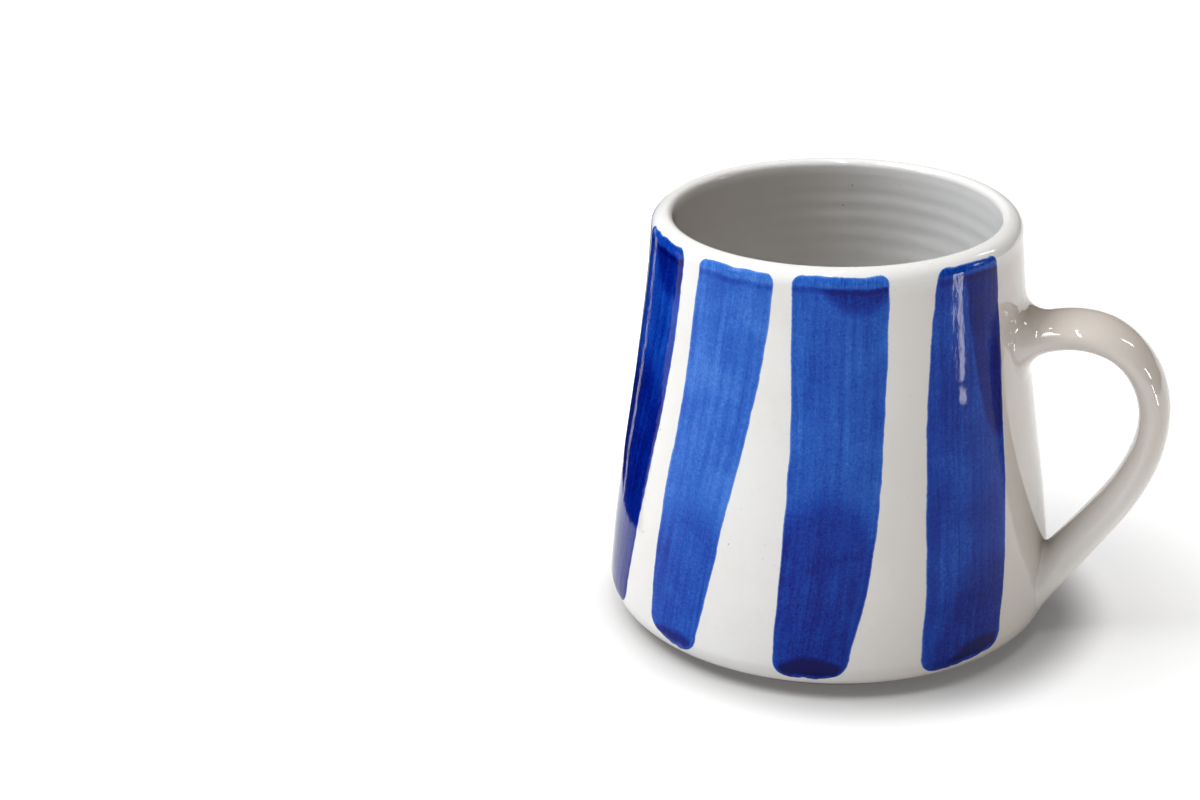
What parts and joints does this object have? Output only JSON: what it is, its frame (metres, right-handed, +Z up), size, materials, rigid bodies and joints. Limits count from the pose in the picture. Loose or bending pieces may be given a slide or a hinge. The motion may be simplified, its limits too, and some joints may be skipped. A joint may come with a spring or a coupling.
{
  "type": "ceramic mug",
  "caption": "Hand-thrown stoneware mug, wider at the foot, with a pulled loop handle, white glaze and broad blue brush strokes down the wall.",
  "frame": {"origin": "the cup's axis at the plane that it stands on", "axes": "+Z up along the cup's axis, +X towards the handle, +Y to the left of the handle seen from outside the handle's end"},
  "size_m": [0.1264, 0.1022, 0.0945],
  "materials": {
    "bare_clay": "matt fired stoneware",
    "liner_glaze": "gloss",
    "white_glaze": "gloss",
    "handle_glaze": "gloss",
    "cobalt_glaze": "gloss"
  },
  "bodies": {
    "root": {"cup_body": "bare_clay", "inner_glaze": "liner_glaze", "outer_glaze": "white_glaze", "handle": "handle_glaze", "upper_joint": "handle_glaze", "lower_joint": "handle_glaze", "blue_stroke_1": "cobalt_glaze", "blue_stroke_2": "cobalt_glaze", "blue_stroke_3": "cobalt_glaze", "blue_stroke_4": "cobalt_glaze", "blue_stroke_5": "cobalt_glaze", "blue_stroke_6": "cobalt_glaze", "blue_stroke_7": "cobalt_glaze", "blue_stroke_8": "cobalt_glaze", "blue_stroke_9": "cobalt_glaze"}
  },
  "joints": []
}
